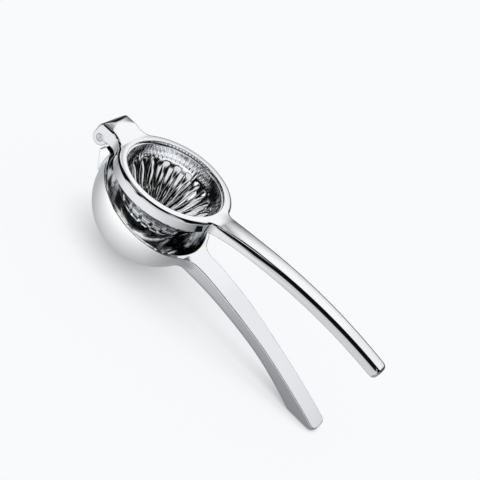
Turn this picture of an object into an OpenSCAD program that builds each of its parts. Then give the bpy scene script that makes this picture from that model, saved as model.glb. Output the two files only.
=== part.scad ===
// Hinged lemon squeezer: a drained bowl on the lower lever, a fluted press cup on the upper one.
// Millimetres. +X runs from the hinge to the handle tips, +Z is up, the levers are symmetric in Y.
// The squeezer stands on the bottom of its bowl and on the sole of the lower handle.

/* [Strainer bowl] */
// Outer radius of the hemispherical bowl
bowl_r = 36.8; // [34:0.1:40]
// Wall thickness of the bowl
bowl_wall = 2.3; // [1.6:0.1:3]
// Diameter of one drain hole
drain_d = 4.2; // [3:0.1:5]
// Distance from one circle of drain holes to the next
drain_pitch = 6.1; // [5.8:0.1:7.5]
// Circles of drain holes around the middle one
drain_circles = 1; // [1:1:3]

/* [Press ring] */
// How far the ring's wall stands inside the bowl's outer wall
ring_inset = 2.05; // [1:0.05:3]
// Height of the ring
ring_h = 6.95; // [5:0.05:9]
// Wall thickness of the ring around the press cup
ring_wall = 4.1; // [3:0.1:5]
// Thickness of the lip that holds the press cup down
lip_t = 1.7; // [1:0.1:2.5]
// Rounding of the ring's outer top edge
ring_round = 1.9; // [0.4:0.05:2.2]

/* [Press cup] */
// Wall thickness of the press cup
cup_wall = 1.9; // [1.4:0.1:2.4]
// Width of the cup's rim that shows inside the ring's mouth
cup_ledge = 0.8; // [0.4:0.1:1.2]
// Number of pressed flutes
flute_count = 24; // [12:1:28]
// Radius of a flute's round back, inside the cup
flute_r = 1.9; // [1.2:0.1:2.4]
// How far a flute stands into the cup
flute_rise = 1.5; // [0.8:0.1:1.8]
// Radius of the groove that the same flute leaves outside
groove_r = 1; // [0.6:0.1:1.4]
// Depth of that groove
groove_depth = 0.9; // [0.5:0.1:1.2]
// Upper end of the flutes, in degrees from the cup's bottom
flute_top_deg = 66; // [55:1:72]
// Lower end of the flutes, in degrees from the cup's bottom
flute_low_deg = 34; // [32:1:45]

/* [Hinge] */
// Distance from the bowl's outer wall to the pin
pin_reach = 9.2; // [8.5:0.1:12]
// Radius of the hinge pin
pin_r = 2.15; // [1.5:0.05:2.6]
// Radius of the two ears around the pin
ear_r = 4.7; // [4.2:0.1:5.5]
// Width over the two ears
hinge_w = 22.6; // [19:0.1:26]
// Width of the tongue that turns between the ears
tongue_w = 14.4; // [11:0.1:16]
// Radius of the hood's rounded nose above the pin
nose_r = 5.9; // [5:0.1:7]
// How far the nose stands in front of the pin
nose_shift = 1.5; // [0.5:0.1:2.5]
// Height of the hood's crest over the ring's top
hood_rise = 2.15; // [1.2:0.05:3]
// Fall of the hood's top from its middle to its sides
hood_crown = 0.8; // [0.3:0.1:1.2]
// Fillet between the hood and the ring
hood_fillet = 5; // [3:0.1:8]
// How far the lug reaches down the bowl's wall
lug_depth = 13.9; // [10:0.1:17]
// Direction from the pin to the lug's lower corner, in degrees below the rim
lug_corner_deg = 44; // [35:1:55]

/* [Upper handle] */
// Length from the ring's wall to the tip
upper_len = 118.5; // [100:0.25:135]
// Distance from the ring's wall to the crest of the curve
upper_crest = 56.25; // [45:0.25:65]
// Radius of the curve along the top
upper_curve_r = 330; // [280:5:400]
// Thickness of the handle
upper_t = 5.6; // [4.5:0.1:7]
// Width of the handle
upper_w = 13.4; // [10:0.1:15]
// Rounding of the two long top edges
upper_round = 2.6; // [1:0.1:2.8]
// Rounding under the tip
upper_tip_round = 2.8; // [2:0.1:3.6]
// Distance from the ring's wall to where the deeper root has run out
upper_root_len = 18; // [15:0.25:35]
// Fillet between the upper handle and the ring
upper_fillet = 3; // [1:0.1:5]

/* [Lower handle] */
// Length from the bowl's wall to the tip
lower_len = 115.5; // [95:0.5:130]
// Distance from the bowl's wall to the crest of the top
lower_crest = 52.2; // [40:0.1:65]
// Height of that crest over the bowl's rim
lower_rise = 5.7; // [4:0.1:8]
// Radius of the top curve from the bowl to the crest
lower_curve_in_r = 320; // [280:5:400]
// Radius of the top curve from the crest to the tip
lower_curve_out_r = 450; // [400:5:550]
// Distance from the bowl's wall to the crest of the underside
under_crest = 54.2; // [45:0.1:60]
// Depth of the handle at its crest
lower_depth = 7.4; // [6:0.1:9]
// Radius of the underside's curve
under_curve_r = 208; // [190:1:240]
// Distance from the bowl's wall to the heel, where the flat sole begins
heel_reach = 96.7; // [85:0.1:105]
// Width of the handle near the bowl
lower_w = 16.2; // [13:0.1:19]
// Width of the handle's outer half
lower_grip_w = 13.8; // [11:0.1:16]
// Distance from the bowl's wall to the start of the narrowing
narrow_start = 35; // [25:0.5:45]
// Length of the narrowing
narrow_len = 33; // [20:0.5:45]
// Rounding under the lower tip
lower_tip_round = 2.2; // [1:0.1:2.6]
// Fillet between the lower handle and the bowl
lower_fillet = 8; // [4:0.1:10]

/* [Fits and pose] */
// Opening of the levers as the squeezer stands, in degrees
rest_opening = 14.85; // [5:0.05:30]
// Gap between the ring and the bowl's rim when their planes are parallel
rim_gap = 0.25; // [0.15:0.05:0.5]
// Radial clearance of the pin in the tongue's bore
pin_clearance = 0.05; // [0.02:0.01:0.1]
// Gap between the tongue and the ears, at each side and around the knuckle
tongue_gap = 0.3; // [0.2:0.05:0.6]
// Gap between the ears and the lug's hollow
ear_gap = 1.5; // [0.8:0.1:2.5]
// Radial clearance of the press cup in the ring
cup_clearance = 0.05; // [0.02:0.01:0.15]
// Rounding of the handle tips in plan
tip_corner = 4.5; // [2:0.1:5]

/* [Hidden] */
$fn = 96;
long_arc_fn = 1440;
reach = 400; // longer than any part of the squeezer
plan_over = 1; // how far a handle's plan runs past its tip, so that only its corners cut
drill_over = 1; // how far a drain hole's cut runs out under the bowl
crown_cut = 0.2; // how deep the hood's crown cuts into the top of its nose
seam = 0.02; // a side that would just touch a round stays this far inside it, so that they cross

// Radii that follow from the bowl outwards in
ring_r = bowl_r - ring_inset;
cup_seat_r = ring_r - ring_wall;
cup_r = cup_seat_r - cup_clearance;
cup_inner_r = cup_r - cup_wall;
mouth_r = cup_inner_r + cup_ledge;

// Lower lever frame: origin in the middle of the bowl's rim plane.
// Upper lever frame: origin in the middle of the ring's top plane.
hinge_x = bowl_r + pin_reach;
pin_drop = ring_h + rim_gap;
pin_low = [-hinge_x, 0];
pin_up = [-hinge_x, -pin_drop];

// Curves of the lower handle, as [x, z] in the lower lever frame
lower_tip_x = bowl_r + lower_len;
crest_low = [bowl_r + lower_crest, lower_rise];
arc_in = crest_low - [0, lower_curve_in_r];
arc_out = crest_low - [0, lower_curve_out_r];
arc_under = [bowl_r + under_crest, lower_rise - lower_depth - under_curve_r];
heel_x = bowl_r + heel_reach;
heel = [heel_x, arc_under.y + sqrt(pow(under_curve_r, 2) - pow(heel_x - arc_under.x, 2))];

// The table touches the bowl and the heel, which sets how far the lower lever leans
lean = asin(bowl_r / norm(heel)) + atan2(heel.y, heel.x);
table_up = [-sin(lean), cos(lean)];

// Curve of the upper handle, as [x, z] in the upper lever frame; it starts flush with the ring
crest_up = [ring_r + upper_crest, upper_curve_r - sqrt(pow(upper_curve_r, 2) - pow(upper_crest, 2))];
arc_up = crest_up - [0, upper_curve_r];
upper_tip_deg = asin((upper_len - upper_crest) / upper_curve_r);
tip_top_d = upper_curve_r - upper_round;
tip_low_d = upper_curve_r - upper_t + upper_tip_round;
tip_top = [-upper_round, sqrt(pow(tip_top_d, 2) - pow(upper_round, 2))];
tip_low = [-upper_tip_round, sqrt(pow(tip_low_d, 2) - pow(upper_tip_round, 2))];

// The deeper root of the upper handle: a curve from the ring's lower edge, tangent to the underside
under_up_r = upper_curve_r - upper_t;
root_end_deg = asin((upper_crest - upper_root_len) / under_up_r);
root_normal = [-sin(root_end_deg), cos(root_end_deg)];
root_end = arc_up + under_up_r * root_normal;
root_chord = [ring_r, -ring_h] - root_end;
root_curve_r = -(root_chord * root_chord) / (2 * (root_chord * root_normal));

// The lug and the hood, as [x, z]
lug_corner = pin_low + (ear_r + ear_gap) * [cos(lug_corner_deg), -sin(lug_corner_deg)];
lug_foot = [-sqrt(pow(bowl_r, 2) - pow(lug_depth, 2)), -lug_depth];
nose = [pin_up.x + nose_shift, hood_rise + crown_cut - nose_r];
crown_r = (pow(hinge_w / 2, 2) + pow(hood_crown, 2)) / (2 * hood_crown);
slot_r = ear_r + tongue_gap;
slot_w = tongue_w + 2 * tongue_gap;

// Place of the pin and of the upper handle's tip before the model is centred over its base
function turned(p, deg) = [p.x * cos(deg) + p.y * sin(deg), p.y * cos(deg) - p.x * sin(deg)];
upper_deg = lean - rest_opening;
pin_place = turned(pin_low, lean);
tip_place = pin_place + turned(arc_up + turned(tip_top, upper_tip_deg) - pin_up, upper_deg);
shift_x = -(pin_place.x - ear_r + tip_place.x + upper_round) / 2;

function unit(v) = v / norm(v);

// Where the straight line that touches two circles meets them; side is 1 for left of the way, -1 for right
function touching(c1, r1, c2, r2, side) =
    let (deg = atan2(c2.y - c1.y, c2.x - c1.x) + side * acos((r1 - r2) / norm(c2 - c1)))
    [c1 + r1 * [cos(deg), sin(deg)], c2 + r2 * [cos(deg), sin(deg)]];

// ---- frames ----

module lower_frame() translate([shift_x, 0, bowl_r]) rotate([0, lean, 0]) children();

module upper_frame()
    translate([pin_place.x + shift_x, 0, pin_place.y + bowl_r])
        rotate([0, upper_deg, 0])
            translate([hinge_x, 0, pin_drop]) children();

// ---- shared shapes ----

// A side view drawn in x and z, made w wide across Y
module across(w) rotate([90, 0, 0]) linear_extrude(w, center = true) children();

// A plan view drawn in x and y, taller than the lever
module upright() translate([0, 0, -reach / 2]) linear_extrude(reach) children();

// A round bar along Y through the side-view point p
module cross_bar(p, r, w) translate([p.x, 0, p.y]) rotate([90, 0, 0]) cylinder(r = r, h = w, center = true);

// The sharp corner around a round of radius r at c, whose sides face the unit directions a and b
function corner(c, r, a, b) = c + r * (a + b) / (1 + a * b);

// What the round takes off that corner
module corner_waste(c, r, a, b) difference() {
    polygon([c, c + 2 * r * a, c + 2 * r * (a + b), c + 2 * r * b]);
    translate(c) circle(r);
}

// The two fillets in plan between a bar w wide along +X and a disc
module root_fillets(w, disc_r, fillet_r) {
    side_y = w / 2 + fillet_r - seam;
    c = [sqrt(pow(disc_r + fillet_r - seam, 2) - pow(side_y, 2)), side_y];
    touch = c * disc_r / (disc_r + fillet_r);
    for (side = [0, 1]) mirror([0, side]) difference() {
        polygon([[touch.x, 0], [c.x, 0], c, touch * (1 - seam)]);
        translate(c) circle(fillet_r);
    }
}

// The end of a handle in plan, w wide, with both corners rounded
module rounded_end(start, end, w) {
    translate([start, -w / 2]) square([end - tip_corner - start, w]);
    translate([start, tip_corner - w / 2]) square([end - start, w - 2 * tip_corner]);
    for (side = [-1, 1]) translate([end - tip_corner, side * (w / 2 - tip_corner)]) circle(tip_corner);
}

// The ring before its bore: the solid that the upper handle and the hood are cut to
module ring_section() {
    translate([0, -ring_h]) square([ring_r, ring_h - ring_round]);
    translate([0, -ring_h]) square([ring_r - ring_round, ring_h]);
    translate([ring_r - ring_round, -ring_round]) circle(ring_round);
}

// ---- lower lever ----

// Half ball, open on top, with circles of drain holes in its bottom
module strainer_bowl() color([0.80, 0.80, 0.82]) lower_frame() difference() {
    rotate_extrude($fn = 180) difference() {
        intersection() {
            circle(bowl_r, $fn = 180);
            translate([0, -bowl_r]) square([bowl_r, bowl_r]);
        }
        circle(bowl_r - bowl_wall, $fn = 180);
    }
    for (ring = [0:drain_circles]) {
        holes = max(1, 6 * ring);
        for (k = [1:holes])
            rotate([0, 0, (k - 0.5) * 360 / holes])
                translate([ring * drain_pitch, 0, -bowl_r - drill_over])
                    cylinder(d = drain_d, h = bowl_r, $fn = 48);
    }
}

// Side view of the lower handle: two top arcs, one under arc, a flat sole and a rounded tip
module lower_side() {
    toe = [lower_tip_x - lower_tip_round,
        (lower_tip_round - bowl_r + sin(lean) * (lower_tip_x - lower_tip_round)) / cos(lean)];
    difference() {
        union() {
            intersection() {
                translate(arc_in) circle(lower_curve_in_r, $fn = long_arc_fn);
                translate([0, -reach]) square([crest_low.x, 2 * reach]);
            }
            intersection() {
                translate(arc_out) circle(lower_curve_out_r, $fn = long_arc_fn);
                translate([crest_low.x, -reach]) square([lower_tip_x - crest_low.x, 2 * reach]);
            }
        }
        translate(arc_under) circle(under_curve_r, $fn = long_arc_fn);
        rotate(lean) translate([-reach, -bowl_r - reach]) square([2 * reach, reach]);
        corner_waste(toe, lower_tip_round, -table_up, [1, 0]);
    }
}

module lower_plan() {
    narrow_x = bowl_r + narrow_start;
    grip_x = narrow_x + narrow_len;
    polygon([
        [0, -lower_w / 2], [narrow_x, -lower_w / 2], [grip_x, -lower_grip_w / 2],
        [grip_x, lower_grip_w / 2], [narrow_x, lower_w / 2], [0, lower_w / 2]
    ]);
    root_fillets(lower_w, bowl_r, lower_fillet);
    rounded_end(grip_x - plan_over, lower_tip_x + plan_over, lower_grip_w);
}

module lower_handle() color([0.72, 0.72, 0.74]) lower_frame() difference() {
    intersection() {
        across(2 * bowl_r) lower_side();
        upright() lower_plan();
    }
    sphere(bowl_r, $fn = 180);
}

// Block behind the bowl, hollowed around the ears, with a tongue that turns between them
module hinge_lug() color([0.66, 0.66, 0.69]) lower_frame() difference() {
    union() {
        across(hinge_w) difference() {
            polygon([pin_low, [0, 0], [0, -lug_depth], lug_foot, lug_corner]);
            translate(pin_low) circle(ear_r + ear_gap);
        }
        across(tongue_w) {
            translate(pin_low) circle(ear_r);
            polygon([pin_low, [0, 0], [0, -lug_depth], lug_foot, lug_corner,
                touching(pin_low, ear_r - seam, lug_corner, 0, -1)[0]]);
        }
    }
    sphere(bowl_r, $fn = 180);
    cross_bar(pin_low, pin_r + pin_clearance, 2 * hinge_w);
}

// ---- upper lever ----

// Ring with a lip on top; the press cup sits in the bore under the lip
module press_ring() color([0.86, 0.86, 0.88]) upper_frame() rotate_extrude($fn = 180) difference() {
    ring_section();
    translate([0, -2 * ring_h]) square([cup_seat_r, 2 * ring_h - lip_t]);
    translate([0, -ring_h]) square([mouth_r, 2 * ring_h]);
}

// One flute along a meridian: a round bar with round ends, standing proud of a ball's surface by rise
module flute(surface_r, tube_r, rise) {
    path_r = surface_r + tube_r - rise;
    rotate([90, 0, 0]) {
        rotate_extrude(angle = flute_top_deg - flute_low_deg, start = flute_low_deg - 90, $fn = 360)
            translate([path_r, 0]) circle(tube_r, $fn = 32);
        for (end_deg = [flute_low_deg, flute_top_deg])
            rotate(end_deg - 90) translate([path_r, 0]) sphere(tube_r - seam, $fn = 32);
    }
}

module all_flutes(surface_r, tube_r, rise)
    for (k = [1:flute_count]) rotate([0, 0, (k - 0.5) * 360 / flute_count]) flute(surface_r, tube_r, rise);

// Half ball under the lip, pressed into flutes: ribs inside, grooves outside
module press_cup() color([0.78, 0.78, 0.80]) upper_frame() translate([0, 0, -lip_t]) difference() {
    rotate_extrude($fn = 180) intersection() {
        circle(cup_r, $fn = 180);
        translate([0, -cup_r]) square([cup_r, cup_r]);
    }
    difference() {
        sphere(cup_inner_r, $fn = 180);
        all_flutes(cup_inner_r, flute_r, flute_rise);
    }
    all_flutes(cup_r, groove_r, groove_depth);
}

// Side view of the upper handle: an even bar along the curve and a deeper root at the ring
module upper_side() {
    difference() {
        union() {
            difference() {
                translate(arc_up) circle(upper_curve_r, $fn = long_arc_fn);
                translate(arc_up) circle(under_up_r, $fn = long_arc_fn);
            }
            difference() {
                polygon([[0, -ring_h], [root_end.x, -ring_h], root_end + [0, upper_t / 4],
                    [ring_r, -upper_t / 4], [0, -upper_t / 4]]);
                translate(root_end - root_curve_r * root_normal) circle(root_curve_r, $fn = long_arc_fn);
            }
        }
        translate([-reach, -reach]) square([reach + ring_r - ring_wall, 2 * reach]);
        translate([-reach, -1.5 * reach]) square([2 * reach, reach]);
        translate(arc_up) rotate(-upper_tip_deg) {
            square(2 * reach);
            corner_waste(tip_top, upper_round, unit(tip_top), [1, 0]);
            corner_waste(tip_low, upper_tip_round, -unit(tip_low), [1, 0]);
        }
    }
}

// The bar's section, swept along the same curve, rounds both long top edges
module rounded_sweep()
    translate([arc_up.x, 0, arc_up.y]) rotate([90, 0, 0])
        rotate_extrude(angle = 60, start = 60, $fn = long_arc_fn) {
            translate([upper_curve_r - reach / 2, -upper_w / 2]) square([reach / 2 - upper_round, upper_w]);
            translate([upper_curve_r - reach / 2, upper_round - upper_w / 2])
                square([reach / 2, upper_w - 2 * upper_round]);
            for (side = [-1, 1])
                translate([upper_curve_r - upper_round, side * (upper_w / 2 - upper_round)])
                    circle(upper_round, $fn = 64);
        }

module upper_handle() color([0.84, 0.84, 0.86]) upper_frame() difference() {
    union() {
        intersection() {
            across(2 * upper_w) upper_side();
            upright() rounded_end(0, ring_r + upper_len + plan_over, upper_w);
            rounded_sweep();
        }
        translate([0, 0, -ring_h]) linear_extrude(ring_h - ring_round)
            root_fillets(upper_w, ring_r, upper_fillet);
    }
    rotate_extrude($fn = 180) ring_section();
}

// Side view of the hood: ear, nose and the straight falls to the ring's top and bottom
module hood_side() {
    back = unit(touching(pin_up, ear_r, nose, nose_r, 1)[0] - pin_up);
    top = unit(touching(nose, nose_r, [-ring_r, 0], 0, 1)[0] - nose);
    inside_x = ring_wall - ring_r;
    front_x = pin_up.x + ear_r;
    difference() {
        polygon([corner(pin_up, ear_r, back, [0, -1]), corner(nose, nose_r, back, top), [-ring_r, 0],
            [inside_x, 0], [inside_x, -ring_h], [front_x, -ring_h], [front_x, pin_up.y - ear_r]]);
        corner_waste(pin_up, ear_r, back, [0, -1]);
        corner_waste(pin_up, ear_r, [0, -1], [1, 0]);
        corner_waste(nose, nose_r, back, top);
    }
}

// Hood behind the ring: a rounded nose over the pin and two ears that straddle the tongue
module hinge_hood() color([0.82, 0.82, 0.84]) upper_frame() difference() {
    intersection() {
        across(hinge_w + 2 * hood_fillet) hood_side();
        upright() mirror([1, 0]) {
            translate([0, -hinge_w / 2]) square([hinge_x + nose_r + ear_r, hinge_w]);
            root_fillets(hinge_w, ring_r, hood_fillet);
        }
        translate([0, 0, hood_rise - crown_r]) rotate([0, 90, 0])
            cylinder(r = crown_r, h = reach, center = true, $fn = 720);
    }
    cross_bar(pin_up, slot_r, slot_w);
    translate([pin_up.x - reach, -slot_w / 2, pin_up.y - reach]) cube([reach, slot_w, reach + slot_r]);
    cross_bar(pin_up, pin_r, 2 * hinge_w);
    rotate_extrude($fn = 180) ring_section();
}

// Pin, tight in both ears and free in the tongue, with a centre mark in each end
module hinge_pin() color([0.62, 0.62, 0.65]) upper_frame() difference() {
    cross_bar(pin_up, pin_r, hinge_w);
    for (side = [-1, 1])
        translate([pin_up.x, side * (hinge_w + pin_r) / 2, pin_up.y]) sphere(pin_r * 0.7, $fn = 48);
}

strainer_bowl();
lower_handle();
hinge_lug();
press_ring();
press_cup();
upper_handle();
hinge_hood();
hinge_pin();
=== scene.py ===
"""Hinged lemon squeezer: two chrome-plated castings, a pressed steel cup and a pin, on a white table."""

import math

import bpy
import numpy as np
from mathutils import Matrix, Vector


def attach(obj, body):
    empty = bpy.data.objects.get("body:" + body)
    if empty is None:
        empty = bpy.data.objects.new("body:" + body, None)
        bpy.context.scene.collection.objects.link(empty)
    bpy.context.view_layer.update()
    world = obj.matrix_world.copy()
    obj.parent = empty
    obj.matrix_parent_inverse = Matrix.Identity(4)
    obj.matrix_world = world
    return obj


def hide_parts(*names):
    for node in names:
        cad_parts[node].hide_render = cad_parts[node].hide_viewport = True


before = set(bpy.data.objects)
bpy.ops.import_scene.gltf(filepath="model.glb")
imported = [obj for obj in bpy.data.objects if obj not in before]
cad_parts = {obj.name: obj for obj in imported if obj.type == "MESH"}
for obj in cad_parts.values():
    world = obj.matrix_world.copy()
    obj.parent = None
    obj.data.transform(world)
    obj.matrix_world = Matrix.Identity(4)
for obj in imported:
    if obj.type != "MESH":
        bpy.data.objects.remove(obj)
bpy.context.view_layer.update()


# ---- Camera ----
# A long lens, a good arm's length in front of the squeezer and well above the table.
# It is rolled, so that the handles run down to the right across the picture.

MM = 0.001
CAMERA_PLACE = Vector((116.5, -529.3, 408.7)) * MM
CAMERA_TARGET = Vector((-5.6, 15.7, 44.6)) * MM
CAMERA_ROLL = math.radians(36.78)

camera = bpy.data.objects.new("camera", bpy.data.cameras.new("camera"))
camera.data.lens = 90.59
camera.data.sensor_width = 36
aim = (CAMERA_TARGET - CAMERA_PLACE).to_track_quat("-Z", "Y").to_matrix().to_4x4()
camera.matrix_world = Matrix.Translation(CAMERA_PLACE) @ aim @ Matrix.Rotation(CAMERA_ROLL, 4, "Z")
bpy.context.scene.collection.objects.link(camera)
bpy.context.scene.camera = camera


# ---- Upper lever casting ----
# One zinc casting: the ring around the cup, the long curved handle and the hood with its two ears.
# It is ground, buffed and chrome plated, so every edge is soft and the faces are a clean mirror.

RING_R, RING_H, RING_ROUND = 34.75, 6.95, 1.7
SEAT_R, MOUTH_R, LIP_T = 30.65, 29.5, 1.7
PIN_X, PIN_UP_Z, PIN_R, EAR_R = -46.0, -7.2, 2.15, 4.7
NOSE = (-44.5, -3.55)
NOSE_R = 5.9
HOOD_W, SLOT_W, SLOT_R = 22.6, 15.0, 5.0
CROWN_TOP, CROWN_R = 2.15, 80.2
RING_DOME_H, RING_DOME_RUN, HANDLE_DOME_R = 0.3, 18.0, 70.0
ROOT_W, TIP_W, HANDLE_LEN, HANDLE_T = 17.0, 12.8, 118.5, 5.6
HANDLE_ARC, HANDLE_R, HANDLE_EDGE = (91.0, -325.171), 330.0, 3.5
BAR_START, ROOT_FILLET, HOOD_FILLET, TIP_CORNER, TIP_ROUND = 20, 3.0, 5.0, 4.5, 2.8
ROOT_R, ROOT_END_X = 96.035, 52.75
TIP_ANGLE = math.radians(10.8732)
LEAN = math.radians(13.3729)
UPPER_TURN = math.radians(-1.47713)
PIN_PLACE = Vector((-96.9676, 0, 47.4392)) * MM

upper_frame = (Matrix.Translation(PIN_PLACE) @ Matrix.Rotation(UPPER_TURN, 4, "Y")
               @ Matrix.Scale(MM, 4) @ Matrix.Translation((-PIN_X, 0, -PIN_UP_Z)))


def joined(a, b, r):
    """Two solids as one, with a fillet of radius r between them."""
    return np.maximum(r, np.minimum(a, b)) - np.hypot(np.maximum(r - a, 0), np.maximum(r - b, 0))


def common(a, b, r):
    """What lies inside both solids, with the edge between them rounded to radius r."""
    return np.minimum(-r, np.maximum(a, b)) + np.hypot(np.maximum(r + a, 0), np.maximum(r + b, 0))


def ramp(value, start, end):
    """0 before start, 1 after end, and smooth in between."""
    t = np.clip((value - start) / (end - start), 0, 1)
    return t * t * (3 - 2 * t)


def rounded_corner(x, z, centre, normal_a, normal_b, r):
    """Side view of a corner: a circle and the two straight lines that touch it."""
    dx, dz = x - centre[0], z - centre[1]
    a = dx * normal_a[0] + dz * normal_a[1]
    b = dx * normal_b[0] + dz * normal_b[1]
    cosine = normal_a[0] * normal_b[0] + normal_a[1] * normal_b[1]
    in_corner = (b > cosine * a) & (a > cosine * b)
    return np.where(in_corner, np.hypot(dx, dz), np.maximum(a, b)) - r


def touch_normal(c1, r1, c2, r2, side):
    """Unit normal of the straight line that touches two circles on one side."""
    dx, dz = c2[0] - c1[0], c2[1] - c1[1]
    angle = math.atan2(dz, dx) + side * math.acos((r1 - r2) / math.hypot(dx, dz))
    return math.cos(angle), math.sin(angle)


def skin(name, solid, low, high, cell, place):
    """A mesh of even quads over a solid's surface, given as a function of signed distance."""
    # Only the blocks of cells near the surface are worked out.
    block = 8
    counts = np.ceil((np.array(high) - low) / (cell * block)).astype(int)
    blocks = np.stack(np.meshgrid(*[np.arange(n) for n in counts], indexing="ij"), -1).reshape(-1, 3)
    near = np.abs(solid(low + (blocks + 0.5) * block * cell)) < block * cell * 1.2
    blocks = blocks[near]
    steps = np.arange(block + 1)
    grid = np.stack(np.meshgrid(steps, steps, steps, indexing="ij"), -1).reshape(-1, 3)
    corners = (blocks[:, None, :] * block + grid[None]).reshape(-1, 3)
    value = solid(low + corners * cell).reshape(-1, block + 1, block + 1, block + 1)
    # One quad stands across each grid edge that the surface cuts.
    base = blocks * block
    stride = np.array([1, 1 << 20, 1 << 40])
    quads, points = [], []
    for axis in range(3):
        a = value[:, :block, :block, :block]
        ends = [slice(0, block)] * 3
        ends[axis] = slice(1, block + 1)
        b = value[(slice(None), *ends)]
        hit = np.argwhere((a < 0) != (b < 0))
        va, vb = a[tuple(hit.T)], b[tuple(hit.T)]
        corner = base[hit[:, 0]] + hit[:, 1:]
        point = corner.astype(float)
        point[:, axis] += va / (va - vb)
        u, v = np.eye(3, dtype=int)[[(axis + 1) % 3, (axis + 2) % 3]]
        around = np.stack([corner - u - v, corner - v, corner, corner - u], 1)
        around = np.where((va < 0)[:, None, None], around, around[:, ::-1])
        quads.append(((around + 4) * stride).sum(2))
        points.append(point)
    quads, points = np.concatenate(quads), np.concatenate(points)
    _, faces = np.unique(quads, return_inverse=True)
    faces = faces.reshape(-1, 4)
    count = faces.max() + 1

    def average(per_face):
        """At each point, the mean of a value of the faces around it."""
        sums = [np.bincount(faces.ravel(), np.repeat(column, 4), count) for column in per_face.T]
        return np.stack(sums, 1) / np.bincount(faces.ravel(), minlength=count)[:, None]

    def slope(at):
        """How the distance changes along x, y and z."""
        step = 0.02
        return np.stack([solid(at + step * e) - solid(at - step * e) for e in np.eye(3)], 1) / (2 * step)

    def settled(at):
        """The points, moved onto the surface in three short steps."""
        for _ in range(3):
            g = slope(at)
            move = (solid(at) / np.maximum((g * g).sum(1), 0.2))[:, None] * g
            at = at - np.clip(move, -cell, cell)
        return at

    verts = settled(low + average(points) * cell)
    for _ in range(2):
        verts = settled(0.4 * verts + 0.6 * average(verts[faces].mean(1)))
    normals = slope(verts)
    normals /= np.maximum(np.linalg.norm(normals, axis=1), 1e-6)[:, None]
    turn = np.array(place.to_3x3().normalized())
    mesh = bpy.data.meshes.new(name)
    matrix = np.array(place)
    mesh.from_pydata(verts @ matrix[:3, :3].T + matrix[:3, 3], [], faces.tolist())
    mesh.shade_smooth()
    mesh.normals_split_custom_set_from_vertices((normals @ turn.T).tolist())
    piece = bpy.data.objects.new(name, mesh)
    bpy.context.scene.collection.objects.link(piece)
    return piece


ROOT_NORMAL_ANGLE = math.asin((HANDLE_ARC[0] - ROOT_END_X) / (HANDLE_R - HANDLE_T))
ROOT_CENTRE = (HANDLE_ARC[0] - (HANDLE_R - HANDLE_T - ROOT_R) * math.sin(ROOT_NORMAL_ANGLE),
               HANDLE_ARC[1] + (HANDLE_R - HANDLE_T - ROOT_R) * math.cos(ROOT_NORMAL_ANGLE))
HOOD_BACK = touch_normal((PIN_X, PIN_UP_Z), EAR_R, NOSE, NOSE_R, 1)
HOOD_FALL = touch_normal(NOSE, NOSE_R, (-RING_R, 0), 0, 1)


def upper_casting(p):
    """Distance to the upper casting's surface, in mm, with the ring's middle at the origin."""
    x, y, z = p[:, 0], np.abs(p[:, 1]), p[:, 2]
    from_axis = np.hypot(x, y)
    from_pin = np.hypot(x - PIN_X, z - PIN_UP_Z)
    arc = np.hypot(x - HANDLE_ARC[0], z - HANDLE_ARC[1])
    beyond_tip = (x - HANDLE_ARC[0]) * math.cos(TIP_ANGLE) - (z - HANDLE_ARC[1]) * math.sin(TIP_ANGLE)
    # From above: the ring, the handle that narrows to its tip, and the hood.
    half_w = (ROOT_W + (TIP_W - ROOT_W) * (x - RING_R) / HANDLE_LEN) / 2
    plan = joined(from_axis - RING_R, np.maximum(y - half_w, BAR_START - x), ROOT_FILLET)
    hood_plan = np.maximum(y - HOOD_W / 2, x + BAR_START)
    plan = np.minimum(plan, joined(from_axis - RING_R, hood_plan, HOOD_FILLET))
    plan = common(plan, beyond_tip, TIP_CORNER)
    # The upper face: the handle's crown, the hood's crown and fall, and the ring's slight dome.
    handle_top = common(arc - HANDLE_R + y * y / (2 * HANDLE_DOME_R), beyond_tip, TIP_ROUND)
    crown = np.hypot(y, z - CROWN_TOP + CROWN_R) - CROWN_R
    hood_top = common(rounded_corner(x, z, NOSE, HOOD_BACK, HOOD_FALL, NOSE_R), crown, 0.3)
    from_mouth = np.maximum(from_axis - MOUTH_R - 1, 0)
    dome = RING_DOME_H - RING_DOME_H * np.exp(-from_mouth ** 2 / RING_DOME_RUN)
    flat_top = joined(z + dome, np.where(x > 0, handle_top, hood_top), 0.8)
    top = np.where(x < -RING_R - 4, hood_top, np.where(x > 50, handle_top, flat_top))
    # The underside: the deeper root, the handle and the ring's flat lower edge.
    root = ROOT_R - np.hypot(x - ROOT_CENTRE[0], z - ROOT_CENTRE[1])
    under = np.where(x < ROOT_END_X, root, HANDLE_R - HANDLE_T - arc)
    bottom = common(np.maximum(under, -RING_H - z), beyond_tip, TIP_ROUND)
    # The upper edges are rounder along the handle than on the ring and the hood.
    edge = RING_ROUND - 0.4 * ramp(-x, 32, 40) + (HANDLE_EDGE - RING_ROUND) * ramp(x, 34, 62)
    casting = common(common(plan, top, edge), bottom, 0.5)
    # The ears, then what is cut away: the cup's seat and mouth, the tongue's slot and the pin's hole.
    ears = common(from_pin - EAR_R, y - HOOD_W / 2, 0.5)
    casting = joined(casting, ears, 0.01 + 0.8 * ramp(x, PIN_X, PIN_X + EAR_R))
    bore = np.maximum(MOUTH_R - from_axis, np.minimum(SEAT_R - from_axis, -LIP_T - z))
    casting = common(casting, bore, 0.25)
    slot = np.minimum(from_pin - SLOT_R, np.maximum(x - PIN_X, z - PIN_UP_Z - SLOT_R))
    casting = common(casting, -np.maximum(slot, y - SLOT_W / 2), 0.3)
    return common(casting, PIN_R + 0.05 - from_pin, 0.2)


upper = skin("upper_casting", upper_casting, (-52, -36, -13), (156, 36, 6), 0.4, upper_frame)
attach(upper, "press_lever")
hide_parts("press_ring", "upper_handle", "hinge_hood")


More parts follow.
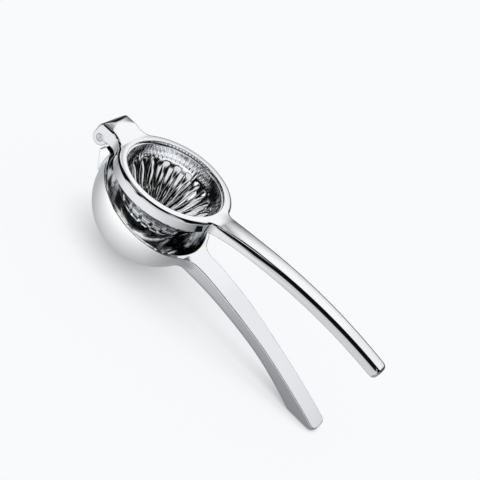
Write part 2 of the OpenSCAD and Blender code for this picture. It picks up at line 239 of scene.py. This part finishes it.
def linear(hex_colour):
    """An sRGB hex colour as the linear RGBA that a shader takes."""
    channels = [int(hex_colour[k:k + 2], 16) / 255 for k in (1, 3, 5)]
    return [c / 12.92 if c < 0.04045 else ((c + 0.055) / 1.055) ** 2.4 for c in channels] + [1]


def add_node(tree, kind, settings=None, **inputs):
    """One node, with its settings and with values or other nodes' outputs on its inputs."""
    made = tree.nodes.new(kind)
    for key, value in (settings or {}).items():
        setattr(made, key, value)
    for key, value in inputs.items():
        by_number = key[0] == "i" and key[1:].isdigit()
        socket = made.inputs[int(key[1:]) if by_number else key.replace("_", " ")]
        if isinstance(value, bpy.types.NodeSocket):
            tree.links.new(value, socket)
        else:
            socket.default_value = value
    return made


def new_material(name):
    """An empty node material and its tree."""
    made = bpy.data.materials.new(name)
    made.use_nodes = True
    made.node_tree.nodes.clear()
    return made, made.node_tree


# Bright chrome over buffed zinc: a near-perfect mirror with a faint waviness from the buffing wheel.
chrome, tree = new_material("bright_chrome_plate")
place = add_node(tree, "ShaderNodeTexCoord").outputs["Object"]
wave = add_node(tree, "ShaderNodeTexNoise", Vector=place, Scale=1 / (14 * MM), Detail=1.0)
haze = add_node(tree, "ShaderNodeTexNoise", Vector=place, Scale=1 / (9 * MM), Detail=3.0)
rough = add_node(tree, "ShaderNodeMapRange", Value=haze.outputs["Fac"], To_Min=0.02, To_Max=0.045)
bump = add_node(tree, "ShaderNodeBump", Height=wave.outputs["Fac"], Strength=0.05, Distance=0.02 * MM)
shader = add_node(tree, "ShaderNodeBsdfPrincipled", Base_Color=linear("#DADBDD"), Metallic=1.0,
                  Roughness=rough.outputs["Result"], Normal=bump.outputs["Normal"])
add_node(tree, "ShaderNodeOutputMaterial", Surface=shader.outputs[0])
upper.data.materials.append(chrome)


# ---- Lower lever casting ----
# One zinc casting: the half-ball bowl with its drain holes, the broad lower handle and the hinge tongue.
# The same chrome plate, but the handle is left at a finer satin, so it shows soft greys.

BOWL_R, BOWL_IN_R = 36.8, 34.5
LUG_W, TONGUE_W, EAR_GAP = 22.6, 14.4, 1.5
LUG_CORNER, LUG_FOOT = (-41.5401, -4.30688), (-34.0739, -13.9)
CREST = (89.0, 5.7)
TOP_IN_R, TOP_OUT_R = 320.0, 450.0
UNDER_CENTRE, UNDER_R = (91.0, 5.7 - 7.4 - 208.0), 208.0
LOWER_TIP_X = 152.3
LOWER_W, NARROWING, NARROW_FROM, NARROW_TO = 16.2, 2.4, 68, 108
DRAIN_R, DRAIN_PITCH = 2.1, 6.1

lower_frame = (Matrix.Translation(Vector((-52.2148, 0, 36.8)) * MM) @ Matrix.Rotation(LEAN, 4, "Y")
               @ Matrix.Scale(MM, 4))
holes = [(0.0, 0.0)]
for k in range(6):
    turn = math.radians((k + 0.5) * 60)
    holes.append((DRAIN_PITCH * math.cos(turn), DRAIN_PITCH * math.sin(turn)))
LUG_TANGENT = touch_normal((PIN_X, 0), EAR_R, LUG_CORNER, 0, -1)
foot_run = (LUG_FOOT[0] - LUG_CORNER[0], LUG_FOOT[1] - LUG_CORNER[1])
LUG_SLOPE = (foot_run[1] / math.hypot(*foot_run), -foot_run[0] / math.hypot(*foot_run))


def lower_casting(p):
    """Distance to the lower casting's surface, in mm, with the bowl's middle at the origin."""
    x, y, z = p[:, 0], np.abs(p[:, 1]), p[:, 2]
    from_middle = np.sqrt(x * x + y * y + z * z)
    from_pin = np.hypot(x - PIN_X, z)
    # The handle from the side: two arcs meet at its crest, and a flat sole stands on the table.
    top = np.where(x < CREST[0], np.hypot(x - CREST[0], z - CREST[1] + TOP_IN_R) - TOP_IN_R,
                   np.hypot(x - CREST[0], z - CREST[1] + TOP_OUT_R) - TOP_OUT_R)
    top = top + 1.1 * (1 - ramp(x, 34, 50))
    under = UNDER_R - np.hypot(x - UNDER_CENTRE[0], z - UNDER_CENTRE[1])
    sole = x * math.sin(LEAN) - z * math.cos(LEAN) - BOWL_R
    beyond_tip = x - LOWER_TIP_X
    # The handle from above, joined to the ball with a fillet that grows toward the rim.
    width = LOWER_W - NARROWING * ramp(x, NARROW_FROM, NARROW_TO)
    plan = common(y - width / 2, beyond_tip, TIP_CORNER)
    low = common(common(under, sole, 1.0), beyond_tip, 2.2)
    bar = np.maximum(common(plan, low, 2.6), BAR_START - x)
    casting = joined(from_middle - BOWL_R, bar, 3 + 4 * ramp(z, -8, -1))
    # The lug behind the bowl and the neck that carries the tongue.
    slope = (x - LUG_CORNER[0]) * LUG_SLOPE[0] + (z - LUG_CORNER[1]) * LUG_SLOPE[1]
    lug = np.maximum(np.maximum(slope, LUG_FOOT[1] - z),
                     np.maximum(EAR_R + EAR_GAP - from_pin, x + BAR_START))
    lug = common(lug, y - LUG_W / 2, 0.6)
    tangent = (x - PIN_X) * LUG_TANGENT[0] + z * LUG_TANGENT[1] - EAR_R
    neck = np.maximum(np.maximum(slope, tangent), np.maximum(PIN_X - x, x + BAR_START))
    neck = common(np.maximum(neck, LUG_FOOT[1] - z), y - TONGUE_W / 2, 0.4)
    casting = joined(casting, np.minimum(lug, neck), 1.0)
    # The rim and the upper face, the knuckle, and what is cut away: the bowl, its holes and the pin's hole.
    casting = common(casting, np.minimum(z, np.where(x > 0, top, z)), 0.55)
    knuckle = common(from_pin - EAR_R, y - TONGUE_W / 2, 0.4)
    casting = joined(casting, knuckle, 0.01 + 0.5 * ramp(x, PIN_X, PIN_X + EAR_R))
    casting = common(casting, BOWL_IN_R - from_middle, 0.5)
    drain = np.full(len(x), 99.0)
    for hx, hy in holes:
        if hy > -0.1:
            drain = np.minimum(drain, np.hypot(x - hx, y - hy) - DRAIN_R)
    casting = common(casting, -np.maximum(drain, z), 0.4)
    return common(casting, PIN_R + 0.1 - from_pin, 0.1)


lower = skin("lower_casting", lower_casting, (-52, -38, -38), (154, 38, 8), 0.45, lower_frame)
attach(lower, "bowl_lever")
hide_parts("strainer_bowl", "lower_handle", "hinge_lug")

# Chrome plate over finely blasted zinc: it mirrors in a soft, even blur.
# The bowl is buffed afterwards, so it is clearer than the handle, and its plate colour is set lighter than
# the handle's.
satin, tree = new_material("satin_chrome_plate")
place = add_node(tree, "ShaderNodeTexCoord").outputs["Object"]
haze = add_node(tree, "ShaderNodeTexNoise", Vector=place, Scale=1 / (9 * MM), Detail=3.0)
along = add_node(tree, "ShaderNodeSeparateXYZ", Vector=place).outputs["X"]
handle_part = add_node(tree, "ShaderNodeMapRange", Value=along, From_Min=-0.016, From_Max=0.004,
                       To_Min=0.07, To_Max=0.13)
past_bowl = add_node(tree, "ShaderNodeMapRange", Value=along, From_Min=-0.032, From_Max=-0.018)
plate = add_node(tree, "ShaderNodeMix", {"data_type": "RGBA"}, i0=past_bowl.outputs[0],
                 i6=linear("#F6F7F8"), i7=linear("#D6D7DA"))
rough = add_node(tree, "ShaderNodeMath", {"operation": "MULTIPLY_ADD"}, i0=haze.outputs["Fac"], i1=0.04,
                 i2=handle_part.outputs["Result"])
bump = add_node(tree, "ShaderNodeBump", Height=haze.outputs["Fac"], Strength=0.05, Distance=0.02 * MM)
shader = add_node(tree, "ShaderNodeBsdfPrincipled", Base_Color=plate.outputs[2], Metallic=1.0,
                  Roughness=rough.outputs[0], Normal=bump.outputs["Normal"])
add_node(tree, "ShaderNodeOutputMaterial", Surface=shader.outputs[0])
lower.data.materials.append(satin)


# ---- Press cup ----
# A half ball of stainless sheet, pressed into 24 flutes in a die and held under the ring's lip.
# The flutes stand up inside as round fingers and show outside as narrow grooves.

CUP_R, CUP_IN_R, FLUTES = 30.6, 28.7, 24
FINGER_W, FINGER_RISE, GROOVE_W, GROOVE_RISE = 4.2, 1.8, 2.0, 0.9
FLUTE_FOOT, FLUTE_LOW, FLUTE_FULL, FLUTE_TOP = [math.radians(a) for a in (15, 36, 56, 74)]
RIPPLE_DEPTH, RIPPLES = 0.012, 72
AROUND, DOWN, END_ANGLE = FLUTES * 32, 120, 0.012


def fluted(theta, phi, ball_r, width, rise):
    """Distance from the middle to a ball's surface with a round rib along each flute."""
    pitch = 2 * math.pi / FLUTES
    aside = np.abs((phi / pitch) % 1.0 - 0.5) * pitch * ball_r * math.sin(theta)
    height = rise * ramp(theta, FLUTE_FOOT, FLUTE_LOW) * (1 - ramp(theta, FLUTE_FULL, FLUTE_TOP))
    half = min(width / 2, 0.47 * pitch * ball_r * math.sin(theta))
    rib = np.sqrt(np.maximum(1 - (aside / half) ** 2, 0))
    foot = 0.25
    bar = (np.sqrt(rib * rib + foot * foot) - foot) / (math.sqrt(1 + foot * foot) - foot)
    drawn = np.sin(RIPPLES * phi + 1.5 * np.sin(4 * phi + 5 * theta))
    return ball_r - height * bar - RIPPLE_DEPTH * ramp(theta, FLUTE_FULL, FLUTE_TOP) * drawn


def ring_of_points(r, z):
    """One ring of points around the cup's axis."""
    return np.stack([r * np.cos(phi), r * np.sin(phi), np.broadcast_to(z, AROUND)], 1)


phi = np.arange(AROUND) / AROUND * 2 * math.pi
theta = np.linspace(END_ANGLE, math.pi / 2 - END_ANGLE, DOWN)
rings = []
# Outside from the bottom up, over the rim with its broken edges, and inside down again.
for t in theta:
    r = fluted(t, phi, CUP_R, GROOVE_W, GROOVE_RISE)
    rings.append(ring_of_points(r * math.sin(t), -r * math.cos(t)))
for rho, z in ((CUP_R - 0.1, -0.1), (CUP_R - 0.35, 0), (CUP_IN_R + 0.35, 0), (CUP_IN_R + 0.1, -0.1)):
    rings.append(ring_of_points(rho, z))
for t in theta[::-1]:
    r = fluted(t, phi, CUP_IN_R, FINGER_W, FINGER_RISE)
    rings.append(ring_of_points(r * math.sin(t), -r * math.cos(t)))
verts = np.concatenate(rings + [[[0, 0, -CUP_R], [0, 0, -CUP_IN_R]]]) + (0, 0, -LIP_T)
column = np.arange(AROUND)
after = (column + 1) % AROUND
faces = []
for k in range(len(rings) - 1):
    a, b = k * AROUND, (k + 1) * AROUND
    faces += np.stack([a + column, a + after, b + after, b + column], 1).tolist()
last = (len(rings) - 1) * AROUND
faces += np.stack([after, column, np.full(AROUND, len(verts) - 2)], 1).tolist()
faces += np.stack([last + column, last + after, np.full(AROUND, len(verts) - 1)], 1).tolist()
matrix = np.array(upper_frame)
mesh = bpy.data.meshes.new("press_cup_shell")
mesh.from_pydata(verts @ matrix[:3, :3].T + matrix[:3, 3], [], faces)
mesh.shade_smooth()
cup = bpy.data.objects.new("press_cup_shell", mesh)
bpy.context.scene.collection.objects.link(cup)
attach(cup, "press_lever")
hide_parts("press_cup")

# Stainless sheet, bright from a polished die: a clear mirror with the slight waves of drawn metal.
steel, tree = new_material("pressed_stainless_sheet")
place = add_node(tree, "ShaderNodeTexCoord").outputs["Object"]
wave = add_node(tree, "ShaderNodeTexNoise", Vector=place, Scale=1 / (5 * MM), Detail=2.0)
bump = add_node(tree, "ShaderNodeBump", Height=wave.outputs["Fac"], Strength=0.05, Distance=0.04 * MM)
shader = add_node(tree, "ShaderNodeBsdfPrincipled", Base_Color=linear("#EEEFF1"), Metallic=1.0,
                  Roughness=0.05, Normal=bump.outputs["Normal"])
add_node(tree, "ShaderNodeOutputMaterial", Surface=shader.outputs[0])
cup.data.materials.append(steel)


# ---- Hinge pin ----
# A turned steel pin, pressed through both ears, with a shallow centre mark in each flat end.
# Its ends keep the fine rings of the lathe tool.

# Half of an end's outline, from its middle to its edge: radius and height over the ear.
profile = [(0, -0.42), (0.4, -0.36), (0.8, -0.18), (1.0, -0.04),
           (1.15, 0), (1.85, 0), (2.05, -0.08), (2.15, -0.25)]
SPIN = 96
rows = [(r, HOOD_W / 2 + h) for r, h in profile] + [(r, -HOOD_W / 2 - h) for r, h in profile[::-1]]
angles = np.arange(SPIN) / SPIN * 2 * math.pi
verts = [(PIN_X, y, PIN_UP_Z) for r, y in (rows[0], rows[-1])]
for r, y in rows[1:-1]:
    ring = [PIN_X + r * np.cos(angles), np.full(SPIN, y), PIN_UP_Z + r * np.sin(angles)]
    verts += np.stack(ring, 1).tolist()
faces = []
for k in range(SPIN):
    n = (k + 1) % SPIN
    faces.append([0, 2 + k, 2 + n])
    for row in range(len(rows) - 3):
        a, b = 2 + row * SPIN, 2 + (row + 1) * SPIN
        faces.append([a + k, b + k, b + n, a + n])
    a = 2 + (len(rows) - 3) * SPIN
    faces.append([1, a + n, a + k])
mesh = bpy.data.meshes.new("pin_with_centre_marks")
mesh.from_pydata([upper_frame @ Vector(v) for v in verts], [], faces)
mesh.shade_smooth()
pin = bpy.data.objects.new("pin_with_centre_marks", mesh)
bpy.context.scene.collection.objects.link(pin)
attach(pin, "press_lever")
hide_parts("hinge_pin")

# Mild steel, turned on a lathe: fine rings, drawn 0.3 mm apart so that they show.
turned, tree = new_material("turned_steel")
place = add_node(tree, "ShaderNodeTexCoord").outputs["Object"]
centre = upper_frame @ Vector((PIN_X, 0, PIN_UP_Z))
moved = add_node(tree, "ShaderNodeVectorMath", {"operation": "SUBTRACT"}, i0=place, i1=centre)
flat = add_node(tree, "ShaderNodeVectorMath", {"operation": "MULTIPLY"}, i0=moved.outputs[0], i1=(1, 0, 1))
radius = add_node(tree, "ShaderNodeVectorMath", {"operation": "LENGTH"}, i0=flat.outputs[0])
RING_PITCH = 0.3 * MM
phase = add_node(tree, "ShaderNodeMath", {"operation": "MULTIPLY"}, i0=radius.outputs["Value"],
                 i1=2 * math.pi / RING_PITCH)
groove = add_node(tree, "ShaderNodeMath", {"operation": "SINE"}, i0=phase.outputs[0])
bump = add_node(tree, "ShaderNodeBump", Height=groove.outputs[0], Strength=0.2, Distance=0.01 * MM)
shader = add_node(tree, "ShaderNodeBsdfPrincipled", Base_Color=linear("#C9CACC"), Metallic=1.0,
                  Roughness=0.2, Normal=bump.outputs["Normal"])
add_node(tree, "ShaderNodeOutputMaterial", Surface=shader.outputs[0])
pin.data.materials.append(turned)


# ---- Table ----
# A large sheet of matt white acrylic under the squeezer.
# It is lit from within, so it stays white; a soft shadow is painted into that glow, and only a faint real
# one falls on it.

REACH = 3.0
SHADOW_REACH, SHADOW_SIDE, SHADOW_START, SHADOW_FLOOR = 0.15, (-0.6, -0.1, 0.79), 0.7, 0.36
corners = [(-REACH, -REACH, 0), (REACH, -REACH, 0), (REACH, REACH, 0), (-REACH, REACH, 0)]
mesh = bpy.data.meshes.new("table")
mesh.from_pydata(corners, [], [(0, 1, 2, 3)])
table = bpy.data.objects.new("table", mesh)
bpy.context.scene.collection.objects.link(table)

# Acrylic, cast and matted: an even white with no gloss.
acrylic, tree = new_material("white_acrylic_sheet")
path = add_node(tree, "ShaderNodeLightPath")
place = add_node(tree, "ShaderNodeTexCoord").outputs["Object"]
parts = add_node(tree, "ShaderNodeSeparateXYZ", Vector=place)
diffuse = add_node(tree, "ShaderNodeBsdfDiffuse", Color=linear("#F9FAFC"))
# A painted soft shadow: the glow is darkened by how much the squeezer hides of the table's view towards the
# upper left, within a short reach.
hidden = add_node(tree, "ShaderNodeAmbientOcclusion", {"samples": 16}, Distance=SHADOW_REACH,
                  Normal=SHADOW_SIDE)
painted_shadow = add_node(tree, "ShaderNodeMapRange", Value=hidden.outputs["AO"], From_Min=0.0, From_Max=SHADOW_START,
                 To_Min=SHADOW_FLOOR, To_Max=1.0)
glow = add_node(tree, "ShaderNodeEmission", Color=linear("#F9FAFC"), Strength=painted_shadow.outputs[0])
lit = add_node(tree, "ShaderNodeMixShader", i0=0.9, i1=diffuse.outputs[0], i2=glow.outputs[0])
# Painted light and shade that only the metal mirrors: for all rays but the eye's, the table glows brightest
# in front and darker behind and beside the squeezer.
back = add_node(tree, "ShaderNodeMapRange", {"interpolation_type": "SMOOTHSTEP"}, Value=parts.outputs["Y"],
                From_Min=-0.09, From_Max=0.0, To_Min=1.2, To_Max=0.42)
far = add_node(tree, "ShaderNodeMapRange", {"interpolation_type": "SMOOTHSTEP"}, Value=parts.outputs["Y"],
               From_Min=0.03, From_Max=0.12, To_Min=1.0, To_Max=0.03)
left = add_node(tree, "ShaderNodeMapRange", {"interpolation_type": "SMOOTHSTEP"}, Value=parts.outputs["X"],
                From_Min=-0.26, From_Max=-0.13, To_Min=0.6, To_Max=1.0)
right = add_node(tree, "ShaderNodeMapRange", {"interpolation_type": "SMOOTHSTEP"}, Value=parts.outputs["X"],
                 From_Min=-0.04, From_Max=0.04, To_Min=1.0, To_Max=0.74)
level = back
for falloff in (far, left, right):
    level = add_node(tree, "ShaderNodeMath", {"operation": "MULTIPLY"}, i0=level.outputs[0],
                     i1=falloff.outputs[0])
painted_table_glow = add_node(tree, "ShaderNodeEmission", Color=linear("#FBFCFD"), Strength=level.outputs[0])
below = add_node(tree, "ShaderNodeMixShader", i0=0.85, i1=diffuse.outputs[0], i2=painted_table_glow.outputs[0])
shader = add_node(tree, "ShaderNodeMixShader", i0=path.outputs["Is Camera Ray"], i1=below.outputs[0],
                  i2=lit.outputs[0])
add_node(tree, "ShaderNodeOutputMaterial", Surface=shader.outputs[0])
table.data.materials.append(acrylic)


# ---- Studio light ----
# A plain white room for the eye and the table. The polished metal mirrors what stands in it:
# a white wall behind, soft boxes overhead and in front, and dark cloths between them.

# Each panel: its left and right side, clockwise from +Y, the heights where it starts, is full, starts to
# fade and ends, all in degrees, and its level. The outer faces mirror the first list.
AROUND_IT = [
    (-27, 4, 11, 34, 47, 58, 1.3),
    (-2, 36, 9, 34, 47, 58, 1.2),
    (-58, -28, 27, 33, 40, 46, 1.12),
    (24, 46, 24, 36, 46, 54, 1.0),
    (110, 196, -10, -2, 38, 54, 0.85),
    (-151, -126, -10, -2, 32, 40, 1.1),
    (-94, -64, 56, 62, 70, 76, 1.1),
    (98, 124, 58, 63, 70, 76, 1.1),
    (58, 94, -4, 2, 10, 16, 0.5),
]
# The second list is what the metal mirrors after two or more turns, inside the cup and the bowl.
IN_HOLLOWS = [
    (-150, -28, 22, 34, 60, 76, 1.25),
    (-30, 38, 8, 30, 60, 76, 1.3),
    (110, 200, -10, -2, 14, 26, 0.6),
]
SOFT_EDGE, DARK = 4, 0.005

world = bpy.data.worlds.new("white_studio")
bpy.context.scene.world = world
world.use_nodes = True
tree = world.node_tree
tree.nodes.clear()
way = add_node(tree, "ShaderNodeTexCoord").outputs["Generated"]
parts = add_node(tree, "ShaderNodeSeparateXYZ", Vector=way)
height = add_node(tree, "ShaderNodeMath", {"operation": "ARCSINE"}, i0=parts.outputs["Z"])
mirrored_levels = []
for panels in (AROUND_IT, IN_HOLLOWS):
    level = DARK
    for left_side, right_side, start, full, fade, end, strength in panels:
        middle = math.radians(left_side + right_side) / 2
        half = (right_side - left_side) / 2
        turned_way = add_node(tree, "ShaderNodeVectorRotate", {"rotation_type": "Z_AXIS"}, Vector=way,
                              Angle=middle)
        turned_parts = add_node(tree, "ShaderNodeSeparateXYZ", Vector=turned_way.outputs[0])
        aside = add_node(tree, "ShaderNodeMath", {"operation": "ARCTAN2"}, i0=turned_parts.outputs["X"],
                         i1=turned_parts.outputs["Y"])
        aside = add_node(tree, "ShaderNodeMath", {"operation": "ABSOLUTE"}, i0=aside.outputs[0])
        amount = add_node(tree, "ShaderNodeMapRange", {"interpolation_type": "SMOOTHSTEP"},
                          Value=aside.outputs[0], From_Min=math.radians(half - SOFT_EDGE),
                          From_Max=math.radians(half + SOFT_EDGE), To_Min=strength, To_Max=0.0)
        for dark_at, full_at in ((start, full), (end, fade)):
            share = add_node(tree, "ShaderNodeMapRange", {"interpolation_type": "SMOOTHSTEP"},
                             Value=height.outputs[0], From_Min=math.radians(dark_at),
                             From_Max=math.radians(full_at))
            amount = add_node(tree, "ShaderNodeMath", {"operation": "MULTIPLY"}, i0=amount.outputs[0],
                              i1=share.outputs[0])
        brighter = add_node(tree, "ShaderNodeMath", {"operation": "MAXIMUM"}, i0=amount.outputs[0], i1=level)
        level = brighter.outputs[0]
    mirrored_levels.append(level)
path = add_node(tree, "ShaderNodeLightPath")
turned_twice = add_node(tree, "ShaderNodeMath", {"operation": "GREATER_THAN"},
                        i0=path.outputs["Glossy Depth"], i1=1.5)
metal_sees = add_node(tree, "ShaderNodeMix", i0=turned_twice.outputs[0], i2=mirrored_levels[0],
                      i3=mirrored_levels[1])
room = add_node(tree, "ShaderNodeBackground", Color=linear("#FFFFFF"), Strength=1.0)
panels = add_node(tree, "ShaderNodeBackground", Color=linear("#FFFFFF"), Strength=metal_sees.outputs[0])
light = add_node(tree, "ShaderNodeMixShader", i0=path.outputs["Is Glossy Ray"], i1=room.outputs[0],
                 i2=panels.outputs[0])
add_node(tree, "ShaderNodeOutputWorld", Surface=light.outputs[0])

bpy.context.scene.view_settings.view_transform = "Standard"
